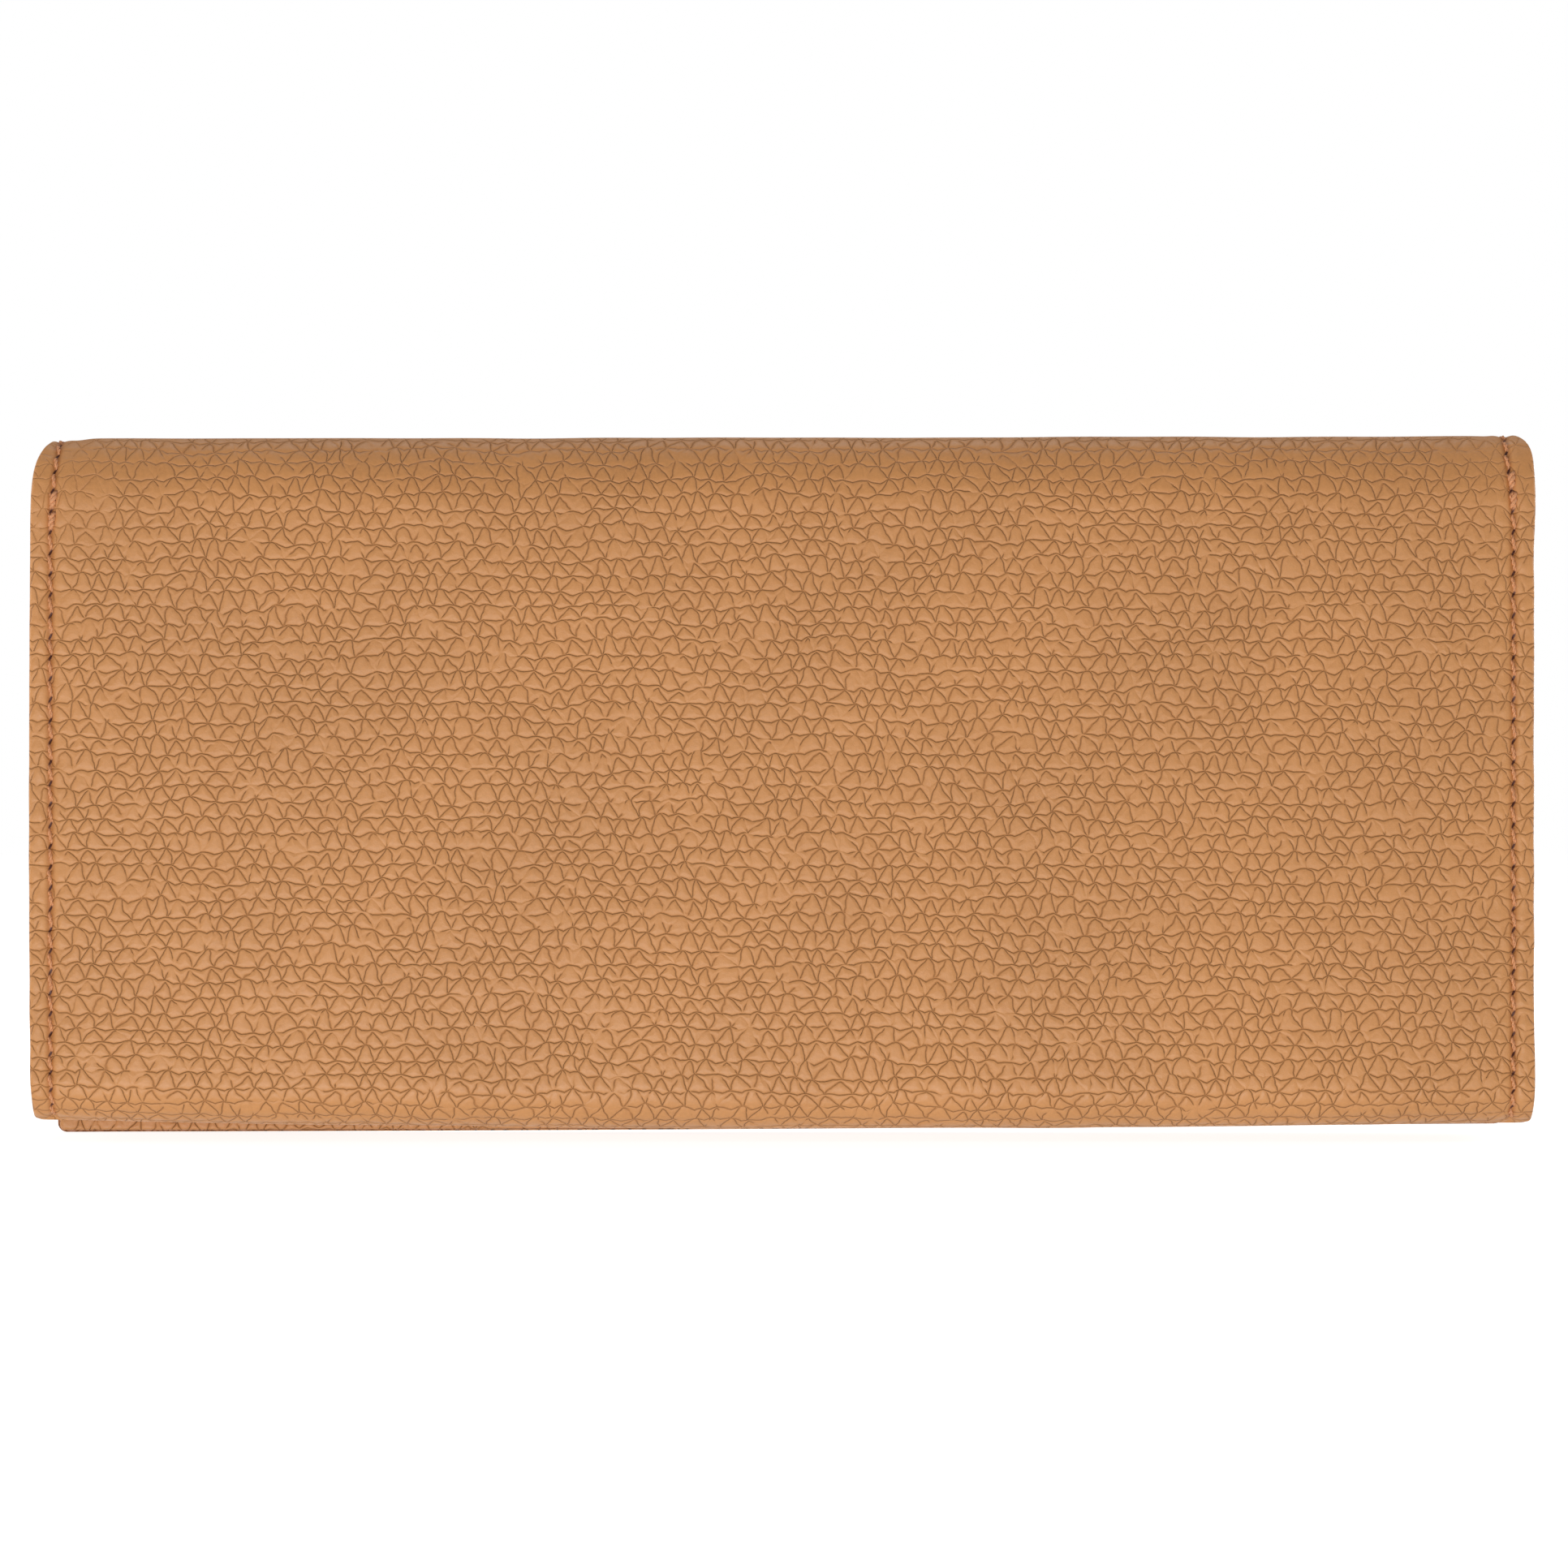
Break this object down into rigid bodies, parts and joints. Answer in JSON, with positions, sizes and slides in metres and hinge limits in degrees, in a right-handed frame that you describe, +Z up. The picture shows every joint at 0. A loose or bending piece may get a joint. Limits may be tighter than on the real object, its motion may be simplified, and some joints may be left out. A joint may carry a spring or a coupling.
{
  "type": "long flap wallet",
  "caption": "Long flap wallet in pebbled tan leather: full flap with a hidden snap, banknote compartments, card pockets and a zipped coin pocket.",
  "frame": {"origin": "under the middle of the closed wallet's box, at the height of the flap's free edge", "axes": "+X across the width, +Y out of the flap's face, +Z up from the base to the top fold"},
  "size_m": [0.19, 0.0244, 0.0894],
  "materials": {
    "outer_leather": "pebbled, semi-matt, tan",
    "lining_leather": "smooth, matt, tan",
    "board": "matt fibre board",
    "card_leather": "smooth, matt, tan",
    "coin_leather": "smooth, matt, tan",
    "gusset_leather": "smooth, thin, tan",
    "thread": "waxed polyester, red brown",
    "zip_tape": "woven, brown",
    "zip_metal": "polished",
    "snap_brass": "satin"
  },
  "bodies": {
    "body": {"back_leather": "outer_leather", "back_lining": "lining_leather", "back_stiffener": "board", "back_seam_left": "thread", "back_seam_right": "thread", "gusset_left": "gusset_leather", "gusset_right": "gusset_leather", "card_panel": "card_leather", "card_pocket_1": "card_leather", "card_pocket_2": "card_leather", "card_pocket_3": "card_leather", "card_pocket_4": "card_leather", "card_seam": "thread"},
    "spine": {"spine_leather": "outer_leather", "spine_lining": "lining_leather", "spine_seam": "thread"},
    "flap": {"flap_leather": "outer_leather", "flap_lining": "lining_leather", "flap_stiffener": "board", "flap_seam": "thread", "snap_cap": "snap_brass", "snap_socket": "snap_brass"},
    "front": {"front_leather": "outer_leather", "front_lining": "lining_leather", "front_stiffener": "board", "front_seam": "thread", "snap_stud": "snap_brass", "snap_post": "snap_brass"},
    "coin": {"coin_pocket_back": "coin_leather", "coin_pocket_front": "coin_leather", "coin_pocket_gusset": "coin_leather", "coin_seam": "thread", "zip_seam": "thread", "zip_tape_back": "zip_tape", "zip_tape_front": "zip_tape", "zip_teeth_back": "zip_metal", "zip_teeth_front": "zip_metal", "zip_stops": "zip_metal"},
    "slider": {"zip_slider": "zip_metal"},
    "puller": {"zip_puller": "zip_metal"}
  },
  "joints": [
    {"name": "flap_fold", "type": "hinge", "parent": "spine", "child": "flap", "pos_m": [0, 0.01044, 0.08764], "axis": [1, 0, 0], "range_deg": [0, 90]},
    {"name": "spine_fold", "type": "hinge", "parent": "body", "child": "spine", "pos_m": [0, -0.01044, 0.08764], "axis": [1, 0, 0], "range_deg": [0, 90]},
    {"name": "front_open", "type": "hinge", "parent": "body", "child": "front", "pos_m": [0, 0.00813, 0.00267], "axis": [-1, 0, 0], "range_deg": [0, 18], "deforming": ["gusset_left", "gusset_right"]},
    {"name": "coin_open", "type": "hinge", "parent": "body", "child": "coin", "pos_m": [0, -0.0002, 0.005], "axis": [-1, 0, 0], "range_deg": [0, 9]},
    {"name": "zip_slide", "type": "slide", "parent": "coin", "child": "slider", "axis": [-1, 0, 0], "range_m": [0, 0.15]},
    {"name": "puller_swing", "type": "hinge", "parent": "slider", "child": "puller", "pos_m": [0.074, -0.0002, 0.06915], "axis": [0, 1, 0], "range_deg": [0, 100]}
  ],
  "couplings": [
    {"joint": "spine_fold", "follows": "flap_fold", "ratio": 1},
    {"joint": "front_open", "follows": "flap_fold", "ratio": 0.2},
    {"joint": "coin_open", "follows": "flap_fold", "ratio": 0.1}
  ]
}
